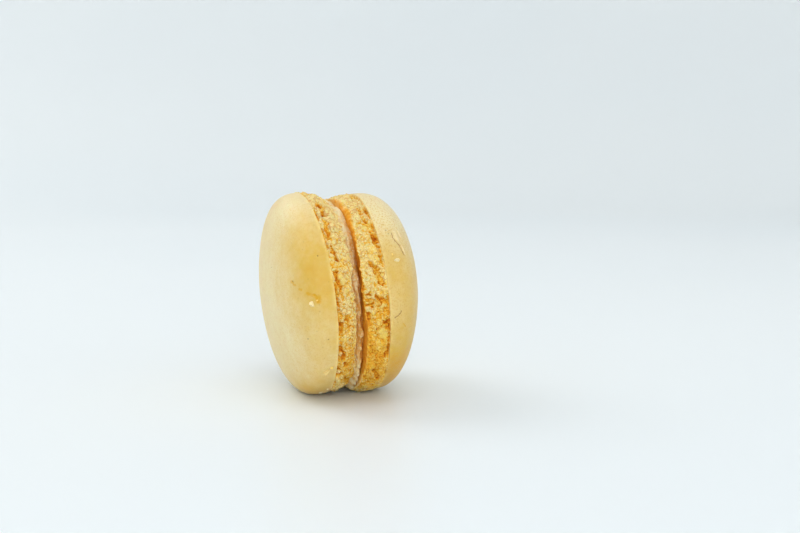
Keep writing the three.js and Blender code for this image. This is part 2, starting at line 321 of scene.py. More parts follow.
# How fine the meshes are: columns round a piece, and rows along it.
SHELL_COLUMNS = 1120
WALL_ROWS = 42
CAP_ROWS = 44
BASE_SHARES = [0.0, 0.3, 0.5, 0.65, 0.75, 0.8]  # of the base's radius, with half as many columns
BASE_RIM_ROWS = 8
EDGE_TURNS = [0.0, 22.5, 45.0, 67.5]  # degrees round the edge of the base
CREAM_COLUMNS = 900
CREAM_SHARES = [0.0, 0.3, 0.55, 0.7, 0.8]  # of the cream's radius
CREAM_ROWS = 24

# ---- colours, stage, light and camera


def srgb(*colour):
    """A colour as the eye reads it, from 0 to 255, turned into the linear numbers that shaders take."""
    parts = (channel / 255 for channel in colour)
    return tuple(((c + 0.055) / 1.055) ** 2.4 if c > 0.04045 else c / 12.92 for c in parts) + (1.0,)


SKIN = {
    "pale": srgb(241, 223, 172),
    "golden": srgb(224, 183, 80),
    "amber": srgb(222, 164, 40),
    "grain": srgb(220, 176, 84),
    "lip": srgb(250, 222, 140),
    "flake": srgb(252, 226, 168),
    "scuff": srgb(222, 166, 22),
    "pore": srgb(150, 104, 36),
    "crack": srgb(176, 116, 40),
}
SKIN_STOPS = [(0.0, SKIN["amber"]), (0.33, SKIN["golden"]), (1.0, SKIN["pale"])]
TONE_RANGE = (-2.0, 1.0)  # the tones at the first and at the last stop
# The colours of the crumb and of the browned base by how sunk they look, and what is added to that: partly
# toasting and browning, partly painted light and shade, pale on crests and darker, more orange where sunk.
CRUMB_SHIFT, BASE_SHIFT = -0.1, 0.1
CRUMB_TOAST_AND_SHADE_STOPS = [
    (0.0, srgb(255, 236, 165)),
    (0.15, srgb(255, 224, 124)),
    (0.35, srgb(255, 202, 74)),
    (0.6, srgb(246, 168, 36)),
    (1.0, srgb(204, 104, 12)),
]
# the base by how sunk: its browning, darker where painted shade falls near the gap
BASE_BROWNING_AND_SHADE_STOPS = [
    (0.0, srgb(253, 210, 132)),
    (0.35, srgb(248, 174, 54)),
    (0.7, srgb(228, 146, 40)),
    (1.0, srgb(198, 116, 22)),
]
CRUMB = {
    # "crease" and "deep" are painted shade, laid in the creases between crumbs
    "crease": srgb(240, 172, 62),
    "deep": srgb(214, 130, 30),
    "speck": srgb(150, 100, 40),
    "yellow": srgb(253, 224, 122),
    "loose": srgb(248, 212, 110),
    "white": srgb(252, 238, 200),
}
# "tan" is painted shade, laid where the cream lies deep in the gap between the shells
CREAM_TONES = {"ivory": srgb(243, 226, 180), "butter": srgb(235, 202, 136), "tan": srgb(230, 174, 84)}
# How much deeper the cream seems below its axis, and how far down fully, as a share of its radius: its
# bottom half is painted tanner, as shade.
CREAM_LOW_SHADE = {"deeper": 1.2, "full_at": 0.5}

# Metres from here on.
STUDIO = {
    "floor_radius": 0.6,
    "curve": 0.5,
    "curve_steps": 25,
    "wall_top": 1.6,
    "columns": 96,
    "below": 0.02,  # millimetres, so that the floor isn't in one plane with what stands on it
    "roughness": 0.45,
    "paper": srgb(242, 246, 247),
    "paper_shade": srgb(239, 244, 246),
}
SKY = {"colour": (1.0, 1.0, 1.0, 1.0), "strength": 0.23}
# A lamp is (name, place, size, power in watts).
LAMPS = [
    ("top", (0.0, 0.0, 1.2), 1.4, 3.1),
    ("over_front", (0.0, -0.35, 1.0), 0.7, 1.39),
    ("front", (-0.2, -0.9, 0.35), 0.6, 2.4),
    ("front_right", (0.55, -0.75, 0.6), 0.7, 0.68),
    ("back_left", (-0.6, 0.6, 0.9), 0.7, 3.42),
]
CAMERA = {
    "place": (-0.0706, -0.2453, 0.0594),
    "pitch": 6.88,
    "turn": 19.37,
    "lens": 50.0,
    "sensor": 36.0,
    "nearest": 0.01,
}

# ---- repeatable noise


def chance(i, j, k, seed):
    """A repeatable random number from 0 to 1 for each set of whole numbers, the same as in the CAD."""
    i, j, k = (np.atleast_1d(n).astype(np.int64).astype(np.uint32) for n in (i, j, k))
    bits = i * np.uint32(0x1B873593) ^ j * np.uint32(0x2545F491) ^ k * np.uint32(0x5BD1E995)
    bits = bits ^ np.uint32(seed * 0x68E31DA4 % 2**32)
    bits = (bits ^ (bits >> np.uint32(15))) * np.uint32(0x2C1B3C6D)
    bits = (bits ^ (bits >> np.uint32(12))) * np.uint32(0x297A2D39)
    return (bits ^ (bits >> np.uint32(15))) / 2.0**32


def smooth(t):
    t = np.clip(t, 0, 1)
    return t * t * (3 - 2 * t)


def relief(points, wavelength, height, seed):
    """Smooth noise from -height to height that changes over one wavelength. Each use adds a number of its
    own to its piece's seed, so that no two are alike."""
    scaled = points / wavelength
    cell = np.floor(scaled)
    part = smooth(scaled - cell)
    total = 0.0
    for step in np.ndindex(2, 2, 2):
        weight = np.prod(np.where(step, part, 1 - part), axis=-1)
        corner = np.moveaxis(cell + step, -1, 0)
        total = total + weight * chance(*corner, seed)
    return height * (2 * total - 1)


def balls(points, size, fill, seed):
    """How far a point is inside the deepest of many balls, strewn one to a cell of this size, in cells."""
    scaled = points / size
    cell = np.floor(scaled)
    deepest = np.zeros(points.shape[:-1])
    for step in np.ndindex(3, 3, 3):
        corner = cell + np.array(step) - 1
        numbers = np.moveaxis(corner, -1, 0)
        centre = corner + np.stack([chance(*numbers, seed + n) for n in (1, 2, 3)], axis=-1)
        radius = fill * (SMALLEST_BALL + (1 - SMALLEST_BALL) * chance(*numbers, seed + 4))
        gap = ((scaled - centre) ** 2).sum(axis=-1)
        deepest = np.maximum(deepest, np.sqrt(np.maximum(0, radius**2 - gap)))
    return deepest


def layered_balls(points, layers, seed):
    """The heights, in millimetres, of several sizes of balls added up."""
    heights = 0
    for n, (size, fill, tall) in enumerate(layers):
        heights = heights + tall * size * balls(points, size, fill, seed + 10 * n)
    return heights


# ---- places on a shell


def shell_axes(shell):
    """Its own directions: up across its base, front across its base, and out through its cap."""
    lean, turn = shell["lean"] * DEGREES, shell["turn"] * DEGREES
    along = np.array([math.cos(turn) * math.cos(lean), math.sin(turn) * math.cos(lean), math.sin(lean)])
    up = np.array([0.0, 0.0, 1.0]) - along * along[2]
    up /= np.linalg.norm(up)
    return up, np.cross(along, up), along * shell["outward"]


def place(shell, own):
    """The points that lie so far up, front and out from the middle of a shell's base."""
    return np.array(shell["base_centre"]) + own @ np.array(shell_axes(shell))


def own_points(radius, angle, height):
    """The points of a turned piece in its own directions: up, front and out."""
    radius, angle, height = np.broadcast_arrays(radius, angle, height)
    return np.stack([radius * np.cos(angle * DEGREES), radius * np.sin(angle * DEGREES), height], axis=-1)


def columns(count):
    return np.arange(count) * 360 / count


def degrees_from(angle, middle):
    """An angle counted from another one, from -180 to 180."""
    return (angle - middle + 180) % 360 - 180


def from_spot(shell, angle, height, middle, share):
    """How far round and how far up a place on the foot is from the spot (middle, share of its height)."""
    arc = degrees_from(angle, middle) * DEGREES * shell["rim_radius"]
    return arc, height - share * shell["foot_height"]


def around(angle, humps):
    """Smooth humps round a piece: (angle, spread, how much) each."""
    total = 0
    for middle, spread, much in humps:
        total = total + much * np.exp(-((degrees_from(angle, middle) / spread) ** 2))
    return total


# ---- the foot


def all_hollows(shell):
    """The shell's own hollows and the scattered ones of its back."""
    n = np.arange(BACK_HOLLOWS["count"])

    def draw(which, low, high):
        return low + (high - low) * chance(n, which, 0, shell["seed"])

    start = BACK_HOLLOWS["from"] + draw(0, n, n + 1) * BACK_HOLLOWS["spacing"]
    share = draw(1, *BACK_HOLLOWS["share"])
    end = start + draw(2, *BACK_HOLLOWS["span"])
    end_share = share + draw(3, *BACK_HOLLOWS["climb"])
    width, depth = draw(4, *BACK_HOLLOWS["width"]), draw(5, *BACK_HOLLOWS["depth"])
    back = np.stack([start, share, end, end_share, width, depth], axis=-1)
    return np.vstack([shell["hollows"], back, SMALL_HOLLOWS[shell["name"]]])


def hollow_depth(shell, angle, height):
    """How deep the hollows are: each is a trough with steep sides and a ragged outline."""
    own = own_points(shell["rim_radius"], angle, height)
    seed = shell["seed"]
    arc_shift, height_shift = (sum(relief(own, *w, seed + n) for w in HOLLOW_WARP) for n in (70, 71))
    deepest = np.zeros(arc_shift.shape)
    for start, share, end, end_share, width, depth in all_hollows(shell):
        run = (end - start) * DEGREES * shell["rim_radius"]
        climb = (end_share - share) * shell["foot_height"]
        arc, rise = from_spot(shell, angle, height, start, share)
        arc, rise = arc + arc_shift, rise + height_shift
        along = np.clip((arc * run + rise * climb) / (run**2 + climb**2), 0, 1)
        away = np.hypot(arc - along * run, rise - along * climb) / (width / 2)
        deepest = np.maximum(deepest, depth * np.minimum(1, STEEP * np.maximum(0, 1 - away**2)))
    return deepest


def groove_depth(shell, own, share):
    """How deep the groove under the cap's edge is: it comes and goes round the shell."""
    broken = GROOVE["kept"] + relief(own, GROOVE["wavelength"], 1.0, shell["seed"] + 10)
    nearness = np.exp(-(((share - GROOVE["share"]) / GROOVE["width"]) ** 2))
    return GROOVE["depth"] * np.maximum(0, broken) * nearness


def foot_radius(shell, share):
    drop = shell["rim_radius"] - shell["base_radius"]
    return shell["rim_radius"] - drop * (1 - share) ** 2 + FOOT["swell"] * np.sin(math.pi * share)


def coarse_relief(shell, angle, share):
    """What the CAD's relief adds to the foot's radius."""
    radius, height = foot_radius(shell, share), share * shell["foot_height"]
    own = own_points(radius, angle, height)
    free = np.minimum(1, FOOT["free_at_base"] + FOOT["free_growth"] * share)
    rough = relief(own, *RUFFLE, shell["seed"] + 20) + relief(own, *CRAG, shell["seed"] + 30)
    groove = groove_depth(shell, own, share) * (1 - around(angle, GROOVE_FILLED[shell["name"]]))
    dug = np.maximum(hollow_depth(shell, angle, height), groove)
    return free * (rough - FOOT["worn_in"]) - dug


def fine_relief(shell, angle, share):
    """What the crumb's lumps, grains and pores add to the foot's radius."""
    own = own_points(foot_radius(shell, share), angle, share * shell["foot_height"])
    lumps = layered_balls(own, LUMPS, shell["seed"] + 50)
    pores = layered_balls(own, PORES, shell["seed"] + 90)
    patchy = smooth(0.5 + relief(own, *PORE_PATCHES, shell["seed"] + 45))
    open_share = PORES_AT_BASE + (1 - PORES_AT_BASE) * share
    return lumps - lumps.mean() - patchy * open_share * pores


def averaged(grid, rows, across):
    """A grid of rows and columns, each value replaced by the mean of its neighbourhood."""
    total = sum(np.roll(grid, step, axis=1) for step in range(-across, across + 1)) / (2 * across + 1)
    padded = np.pad(total, ((rows, rows), (0, 0)), mode="edge")
    return sum(padded[step : step + len(grid)] for step in range(2 * rows + 1)) / (2 * rows + 1)


def base_edge(shell, angle):
    """The radius of the rounding between the base and the foot."""
    return BASE_EDGE + around(angle, SOFT_EDGES[shell["name"]])


def patches(shell, angle, height, places):
    """1 inside round patches of the foot, 0 away from them: (angle, share of its height, radius) each."""
    inside = 0
    for middle, share, size in places:
        gap = np.hypot(*from_spot(shell, angle, height, middle, share))
        inside = np.maximum(inside, smooth(PATCH_REACH - gap / size))
    return inside


def toast_and_shade(shell, angle, height):
    """How much more toasted or paler the foot is, with painted shade at its bottom beside the gap."""
    result = 0
    for middle, share, along, across, much in TOAST_AND_SHADE[shell["name"]]:
        arc, rise = from_spot(shell, angle, height, middle, share)
        result = result + much * np.exp(-((arc / along) ** 2) - (rise / across) ** 2)
    return result


def foot_wall(shell):
    """The foot's wall on a grid of rows and columns: its radius and height, how sunk each point looks, and
    its yellow patches."""
    angle = columns(SHELL_COLUMNS)[None, :]
    edge = base_edge(shell, angle)
    top = shell["foot_height"] - WALL_TOP
    height = edge + (top - edge) * np.linspace(0, 1, WALL_ROWS)[:, None]
    share = height / shell["foot_height"]
    yellow = patches(shell, angle, height, YELLOW[shell["name"]])
    knobs = patches(shell, angle, height, KNOBS[shell["name"]])
    fine = (1 - YELLOW_SMOOTH * yellow) * fine_relief(shell, angle, share)
    change = coarse_relief(shell, angle, share) + fine + YELLOW_RISE * yellow + KNOB_RISE * knobs
    radius = np.minimum(foot_radius(shell, share) + change, shell["rim_radius"] + FOOT_OVER_RIM)
    # how sunk: toasting, and painted shade in the foot's low points, hollows and creases; knobs painted paler
    low = np.maximum(0, -change - TOAST_AND_SHADE_WEIGHTS["from"])
    hollow, crease = (np.maximum(0, averaged(radius, *size) - radius) for size in SURROUNDINGS)
    sunk = TOAST_AND_SHADE_WEIGHTS["low"] * low + TOAST_AND_SHADE_WEIGHTS["hollow"] * hollow + TOAST_AND_SHADE_WEIGHTS["crease"] * crease
    sunk = sunk + toast_and_shade(shell, angle, height) - TOAST_AND_SHADE_WEIGHTS["knob"] * knobs
    return {"radius": radius, "height": height, "sunk": sunk, "yellow": yellow}


# ---- skins


def band_faces(first, here, second, there):
    """The faces between a ring of here vertices, numbered from first, and the next ring of there vertices,
    numbered from second. The next ring has as many, half or twice as many, or one of the two is a point."""
    j = np.arange(max(here, there) if 1 in (here, there) else min(here, there))
    after = (j + 1) % len(j)
    if here == there:
        groups = [[first + j, first + after, second + after, second + j]]
    elif here == 1:
        groups = [[first + 0 * j, second + after, second + j]]
    elif there == 1:
        groups = [[first + j, first + after, second + 0 * j]]
    elif here > there:
        left, middle, right = first + 2 * j, first + 2 * j + 1, first + (2 * j + 2) % here
        low, high = second + j, second + after
        groups = [[left, middle, low], [middle, right, high], [middle, high, low]]
    else:
        left, middle, right = second + 2 * j, second + 2 * j + 1, second + (2 * j + 2) % there
        low, high = first + j, first + after
        groups = [[low, middle, left], [low, high, middle], [high, right, middle]]
    return [face for group in groups for face in np.stack(group, axis=-1).tolist()]


def skin_faces(counts):
    """The faces of a closed skin of rings, and for each face the number of the ring it leads to."""
    faces, leads_to = [], []
    starts = np.concatenate([[0], np.cumsum(counts)])
    for n in range(1, len(counts)):
        band = band_faces(starts[n - 1], counts[n - 1], starts[n], counts[n])
        faces += band
        leads_to += [n] * len(band)
    return faces, np.array(leads_to)


def add_object(name, data):
    thing = bpy.data.objects.new(name, data)
    bpy.context.scene.collection.objects.link(thing)
    return thing


def make_object(name, points, faces, materials):
    """A smooth mesh object from points in millimetres."""
    mesh = bpy.data.meshes.new(name)
    mesh.from_pydata((points * MM).tolist(), [], faces)
    for material in materials:
        mesh.materials.append(material)
    mesh.shade_smooth()
    return add_object(name, mesh)


# The numbers that materials read from a shell's vertices: 1 on the smooth base, how sunk a point of the crumb
# looks, which sets its toasting and its painted shade, 1 in a yellow patch, and 1 on the cap's pale lip. The
# cap's tone, with painted light and shade in it, is a mark as well.
MARKS = ("base", "sunk", "yellow", "lip")


def add_mark(thing, name, values):
    mark = thing.data.attributes.new(name, "FLOAT", "POINT")
    mark.data.foreach_set("value", np.asarray(values, dtype=np.float32))


def ring(radius, height, count=SHELL_COLUMNS, skin=False, **marks):
    """One ring of a shell's skin: its own points, whether the cap's smooth skin covers it, and its marks."""
    marks = {key: np.broadcast_to(marks.get(key, 0.0), count) for key in MARKS}
    return {"own": own_points(radius, columns(count), height), "skin": skin, **marks}


def edge_beads(shell, radius, height, edge_radius):
    """How far beads of crumb on the base's edge stand out over the gap at each point."""
    angle = columns(SHELL_COLUMNS)
    own = own_points(shell["base_radius"], angle, 0.0)
    beads = layered_balls(own, BEADS, shell["seed"] + 80)
    beads = beads + OVERHANG + around(angle, EDGE_SHIFTS[shell["name"]])
    hard = np.sqrt(BASE_EDGE / base_edge(shell, angle))
    nearness = np.exp(-((radius - edge_radius) ** 2 + height**2) / EDGE_REACH**2)
    return beads * hard * nearness


def base_rings(shell, wall):
    """From the middle of the base out to its rounded edge."""
    edge = base_edge(shell, columns(SHELL_COLUMNS))
    rim = wall["radius"][0]
    inner = rim - edge
    start = BASE_SHARES[-1] * shell["base_radius"]

    def browned(radius):
        return smooth((rim - radius) / BROWNED)

    rings = []
    for share in BASE_SHARES:
        rings.append(ring(share * shell["base_radius"], 0.0, SHELL_COLUMNS // 2 if share else 1, base=1))
    # the base's browning, with painted shade where it faces the gap
    marks = {"sunk": around(columns(SHELL_COLUMNS), BROWNING_AND_GAP_SHADE[shell["name"]])}
    for step in range(1, BASE_RIM_ROWS):
        radius = start + (inner - start) * step / BASE_RIM_ROWS
        rings.append(ring(radius, -edge_beads(shell, radius, 0.0, rim), base=browned(radius), **marks))
    for turn in EDGE_TURNS:
        radius = inner + edge * math.sin(turn * DEGREES)
        height = edge * (1 - math.cos(turn * DEGREES))
        base = np.maximum(browned(radius), wrapped(shell, height))
        rings.append(ring(radius, height - edge_beads(shell, radius, height, rim), base=base, **marks))
    return rings


def wrapped(shell, height):
    """1 where the base's browned skin covers the foot at a height."""
    angle = columns(SHELL_COLUMNS)
    own = own_points(shell["base_radius"], angle, height)
    reach = around(angle, WRAPPED[shell["name"]]) + relief(own, *WRAP_WAVE, shell["seed"] + 75)
    return smooth((reach - height) / WRAP_FADE)


def wall_rings(shell, wall):
    """Up the foot, and under the cap's lip out to its edge."""
    rings = []
    for radius, height, sunk, yellow in zip(*wall.values()):
        beads = edge_beads(shell, radius, height, wall["radius"][0])
        rings.append(ring(radius, height - beads, sunk=sunk, yellow=yellow, base=wrapped(shell, height)))
    wave = lip_wave(shell, columns(SHELL_COLUMNS))
    last, rim = wall["radius"][-1], shell["rim_radius"] - LIP[0][0]
    for share, below in CEILING:
        height = shell["foot_height"] - below + share * wave
        rings.append(ring(last + share * (rim - last), height, sunk=wall["sunk"][-1] * (1 - share)))
    return rings


def lip_wave(shell, angle):
    """How far out of its level the cap's lip waves."""
    own = own_points(shell["rim_radius"], angle, shell["foot_height"])
    return relief(own, *LIP_WAVE, shell["seed"] + 60)


def cap_rings(shell):
    """Round the lip and over the cap to its top."""
    rings = []
    for inside, below in LIP:
        height = shell["foot_height"] - below + lip_wave(shell, columns(SHELL_COLUMNS))
        rings.append(ring(shell["rim_radius"] - inside, height, lip=1, skin=True))
    for row in range(1, CAP_ROWS + 1):
        count = SHELL_COLUMNS // 2 if row < CAP_ROWS else 1
        rise = math.sin(row / CAP_ROWS * math.pi / 2)
        radius = shell["rim_radius"] * math.sqrt(max(0.0, 1 - rise ** shell["cap_power"]))
        above = rise * shell["cap_height"]
        wave = smooth(1 - above / LIP_REACH) * lip_wave(shell, columns(count))
        height = shell["foot_height"] + above + wave
        pale = math.exp(-((above / LIP_PALE) ** 2))
        rings.append(ring(radius, height, count, lip=pale, skin=True))
    return rings


def bend_cap(shell, own):
    """Slides the cap's top over its edge and lets its skin undulate, as in the CAD, with fine ripples."""
    rise = np.maximum(0, (own[:, 2] - shell["foot_height"]) / shell["cap_height"])
    wave = relief(own, *CAP_WAVE, shell["seed"] + 40)
    ripple = relief(own, *CAP_RIPPLE, shell["seed"] + 41)
    bent = own.copy()
    bent[:, 0] += shell["cap_shift"]["up"] * rise**2
    bent[:, 1] += shell["cap_shift"]["front"] * rise**2
    bent[:, 2] += rise * wave + smooth(rise * RIPPLE_GROWTH) * ripple
    return bent


def cap_tone_and_light(shell, own):
    """How much paler or more golden the cap is at its points: its uneven browning, with painted light on top
    and painted warm shade low down.
    """
    tone = np.zeros(len(own))
    for angle, radius, out, reach, much in CAP_TONES_AND_LIGHT[shell["name"]]:
        gap = np.linalg.norm(own - own_points(radius, angle, out), axis=1)
        tone += much * np.exp(-((gap / reach) ** 2))
    return tone


def inside_cad(points):
    """Moves points that stand out of the CAD's box back to its sides."""
    low, high = np.array(cad_box) / MM
    return np.clip(points, low, high)


def make_shell(shell, crumb):
    """Builds a shell, and returns its points for what lies on it."""
    wall = foot_wall(shell)
    rings = base_rings(shell, wall) + wall_rings(shell, wall) + cap_rings(shell)
    own = np.concatenate([r["own"] for r in rings])
    points = inside_cad(place(shell, bend_cap(shell, own)))
    faces, leads_to = skin_faces([len(r["own"]) for r in rings])
    if shell["outward"] < 0:
        faces = [face[::-1] for face in faces]
    piece = make_object(shell["name"] + "_baked", points, faces, [baked_skin(shell, points), crumb])
    piece.data.polygons.foreach_set("material_index", [0 if rings[n]["skin"] else 1 for n in leads_to])
    for key in MARKS:
        add_mark(piece, key, np.concatenate([r[key] for r in rings]))
    # the tone mark carries the caps' uneven browning with their painted light and shade
    add_mark(piece, "tone", cap_tone_and_light(shell, own))
    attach(piece, "root")
    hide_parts(shell["name"])
    return points


def on_surface(shell, points, spot):
    """The point of a shell that is nearest to a spot: (angle, radius from the axis, out from the base)."""
    angle, radius, out = spot
    wanted = place(shell, own_points(radius, angle, out))
    return points[np.argmin(((points - wanted) ** 2).sum(axis=1))]


# ---- the cream


def cream_ring(radius, share):
    """A ring of the cream, share of the way from the left shell's base to the right one's."""
    flat = own_points(radius, columns(CREAM_COLUMNS), 0.0)[: 1 if np.max(radius) == 0 else None]
    on_left, on_right = (place(shell, flat) for shell in SHELLS)
    return on_left + share * (on_right - on_left)


def make_cream(material):
    """A disc from base to base with a lumpy edge, which bulges out towards the top and the floor."""
    angle = columns(CREAM_COLUMNS)
    rise = np.cos(angle * DEGREES)
    more = np.where(rise > 0, CREAM["more_at_top"], CREAM["more_at_bottom"])
    dip, crease = CREAM["dip"], CREAM["crease"]
    radius = CREAM["radius"] + np.abs(rise) ** CREAM["fall"] * more
    radius -= dip["depth"] * np.maximum(0, rise) ** dip["narrowness"]
    crease_depth = crease["depth"] * (1 - np.abs(rise) ** crease["fade"]) - around(angle, CREASE_FILLED)
    left, right = SHELLS
    thickness = right["base_centre"][0] - left["base_centre"][0]
    edge, deep = [], []
    for share in np.linspace(0, 1, CREAM_ROWS):
        own = own_points(CREAM["radius"], angle, share * thickness)
        swell = math.sin(math.pi * share)
        lumps = relief(own, *CREAM["lump"], CREAM["seed"]) + CREAM["edge_bulge"] * swell
        ragged = share + relief(own, *CREASE_WAVE, CREAM["seed"] + 30)
        lumps -= crease_depth * smooth((ragged - crease["from"]) / (crease["to"] - crease["from"]))
        curds = layered_balls(own, CURDS, CREAM["seed"] + 50)
        curds -= curds.mean()
        edge.append(cream_ring(radius + lumps + swell**0.5 * curds, share))
        # deep: how far the cream lies in the gap, and below its axis, for its painted shade
        lower_shade = CREAM_LOW_SHADE["deeper"] * smooth(-rise / CREAM_LOW_SHADE["full_at"])
        deep.append(left["base_radius"] - radius - lumps - curds + lower_shade)
    face = [cream_ring(share * CREAM["radius"], 0.0) for share in CREAM_SHARES]
    back = [cream_ring(share * CREAM["radius"], 1.0) for share in reversed(CREAM_SHARES)]
    hidden = [np.zeros(len(r)) for r in face]
    rings = face + edge + back
    faces, _ = skin_faces([len(r) for r in rings])
    piece = make_object("buttercream", inside_cad(np.concatenate(rings)), faces, [material])
    add_mark(piece, "deep", np.concatenate(hidden + deep + hidden[::-1]))
    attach(piece, "root")
    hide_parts("filling")


# ---- loose crumbs


def crumb_form(seed):
    """An angular crumb of about radius 1: a ball with flat sides cut off it, slightly rough."""
    ball = bmesh.new()
    bmesh.ops.create_icosphere(ball, subdivisions=CRUMB_SUBDIVISIONS, radius=1.0)
    points = np.array([v.co for v in ball.verts])
    faces = [[v.index for v in face.verts] for face in ball.faces]
    ball.free()
    n = np.arange(CRUMB_CUTS)
    sides = np.stack([chance(n, axis, 0, seed) - 0.5 for axis in range(3)], axis=-1)
    sides /= np.linalg.norm(sides, axis=1)[:, None]
    near, far = CRUMB_CUT_DEPTHS
    for side, depth in zip(sides, near + (far - near) * chance(n, 3, 0, seed)):
        points -= np.maximum(0, points @ side - depth)[:, None] * side
    return points * (1 + relief(points + seed, *CRUMB_RELIEF, seed))[:, None], faces


def make_crumbs(material, shell_points):
    points, faces, white = [], [], []
    strewn = [(shell, *crumb) for shell in SHELLS for crumb in CRUMBS[shell["name"]]]
    for n, (shell, angle, radius, out, size, whiteness) in enumerate(strewn):
        under = on_surface(shell, shell_points[shell["name"]], (angle, radius, out))
        own = own_points(radius, angle, 0.0)
        outward = place(shell, own) - np.array(shell["base_centre"])
        outward /= np.linalg.norm(outward)
        form, form_faces = crumb_form(n + 1)
        start = sum(len(p) for p in points)
        faces += [[start + v for v in face] for face in form_faces]
        points.append(under - CRUMB_SINK * size / 2 * outward + form * size / 2)
        white += [whiteness] * len(form)
    piece = make_object("loose_crumbs", inside_cad(np.concatenate(points)), faces, [material])
    add_mark(piece, "white", white)
    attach(piece, "root")


# ---- materials


class Shader:
    """A material's nodes. Each method adds some and returns the socket with their result. Sizes are in
    millimetres."""

    def __init__(self, name):
        self.material = bpy.data.materials.new(name)
        self.material.use_nodes = True
        self.tree = self.material.node_tree
        self.place = self.add("TexCoord").outputs["Object"]

    def put(self, socket, value):
        if isinstance(value, bpy.types.NodeSocket):
            self.tree.links.new(value, socket)
        else:
            socket.default_value = value

    def add(self, kind, inputs=(), **settings):
        node = self.tree.nodes.new("ShaderNode" + kind)
        for key, value in settings.items():
            setattr(node, key, value)
        for key, value in dict(inputs).items():
            self.put(node.inputs[key], value)
        return node

    def surface(self, **inputs):
        """Sets the main shader's inputs, named with _ for each space."""
        for key, value in inputs.items():
            self.put(self.tree.nodes["Principled BSDF"].inputs[key.replace("_", " ")], value)
        return self.material

    def math(self, operation, first, second):
        return self.add("Math", {0: first, 1: second}, operation=operation).outputs[0]

    def total(self, *values):
        result = values[0]
        for value in values[1:]:
            result = self.math("ADD", result, value)
        return result

    def times(self, first, second):
        return self.math("MULTIPLY", first, second)

    def weighted(self, *pairs):
        """The total of values times their weights: (value, weight) each."""
        return self.total(*(self.times(value, weight) for value, weight in pairs))

    def mix(self, share, first, second):
        node = self.add("Mix", data_type="RGBA")
        sockets = {socket.identifier: socket for socket in node.inputs}
        for key, value in {"Factor_Float": share, "A_Color": first, "B_Color": second}.items():
            self.put(sockets[key], value)
        return next(socket for socket in node.outputs if socket.identifier == "Result_Color")

    def painted(self, colour, *layers):
        """A colour with others laid over it: (where, how strongly, colour) each."""
        for where, strength, paint in layers:
            colour = self.mix(self.times(where, strength), colour, paint)
        return colour

    def mark(self, name):
        return self.add("Attribute", attribute_name=name).outputs["Fac"]

    def texture(self, kind, size, inputs=(), **settings):
        """The outputs of a texture whose waves or cells are of this size."""
        inputs = {"Vector": self.place, "Scale": 1 / (size * MM), **dict(inputs)}
        return self.add("Tex" + kind, inputs, **settings).outputs

    def noise(self, wavelength, detail=3.0):
        """Noise round 0, from about -0.3 to 0.3."""
        return self.math("SUBTRACT", self.texture("Noise", wavelength, {"Detail": detail})[0], 0.5)

    def patches(self, wavelength, low, high, detail=3.0):
        """Ragged patches: 0 where noise is below low, 1 where it is above high."""
        return self.between(self.noise(wavelength, detail), low, high)

    def specks(self, spacing, size, core=0.3):
        """Strewn round spots, 1 in their cores, about one to each spacing."""
        gap = self.texture("Voronoi", spacing)["Distance"]
        return self.between(gap, size / spacing, core * size / spacing)

    def between(self, value, low, high, how="SMOOTHSTEP"):
        """0 up to low, 1 from high on, and smooth or linear between them."""
        inputs = {"Value": value, "From Min": low, "From Max": high}
        return self.add("MapRange", inputs, interpolation_type=how).outputs[0]

    def creases(self, size, inside=0.25, outside=0.75):
        """0 in the middle of rounded grains of about this size, and 1 in the creases between them."""
        return self.between(self.texture("Voronoi", size)["Distance"], inside, outside)

    def crumbs(self, size, shake=0.7, crease=(0.11, 0.02)):
        """Irregular crumbs of about this size: a number for each, and 1 in the creases between them."""
        shaken = {"Vector": self.ragged_place(size, shake * size)}
        number = self.math("SUBTRACT", self.texture("Voronoi", size, shaken)["Color"], 0.5)
        gap = self.texture("Voronoi", size, shaken, feature="DISTANCE_TO_EDGE")["Distance"]
        return number, self.between(gap, *crease)

    def ramp(self, value, stops):
        node = self.add("ValToRGB", {"Fac": value})
        elements = node.color_ramp.elements
        while len(elements) < len(stops):
            elements.new(0.5)
        for element, (at, colour) in zip(elements, stops):
            element.position = at
            element.color = colour
        return node.outputs["Color"]

    def bump(self, height, distance, **inputs):
        return self.add("Bump", {"Height": height, "Distance": distance * MM, **inputs}).outputs["Normal"]

    def vector(self, operation, *inputs):
        node = self.add("VectorMath", dict(enumerate(inputs)), operation=operation)
        return node.outputs["Value" if operation in ("DOT_PRODUCT", "DISTANCE") else "Vector"]

    def stroke(self, here, start, end, width, core=0.15):
        """1 on the line between two points, and 0 from half its width away."""
        reach = end - start + (0, 0, 0.001)  # so that a spot has a length, too
        from_start = self.vector("SUBTRACT", here, tuple(start * MM))
        along = self.vector("DOT_PRODUCT", from_start, tuple(reach / (reach @ reach) / MM))
        share = self.between(along, 0.0, 1.0, how="LINEAR")
        nearest = self.add("VectorMath", {0: tuple(reach * MM), "Scale": share}, operation="SCALE").outputs[0]
        return self.between(self.vector("DISTANCE", from_start, nearest), width / 2 * MM, core * width * MM)

    def ragged_place(self, wavelength, amount):
        """The place, shaken by noise, for marks with ragged outlines."""
        centred = self.vector("SUBTRACT", self.texture("Noise", wavelength)["Color"], (0.5, 0.5, 0.5))
        return self.vector("ADD", self.place, self.vector("MULTIPLY", centred, (amount * MM,) * 3))

    def strokes(self, here, lines):
        """The strongest of several strokes: (start, end, width) each."""
        result = 0.0
        for start, end, width in lines:
            result = self.math("MAXIMUM", self.stroke(here, start, end, width), result)
        return result


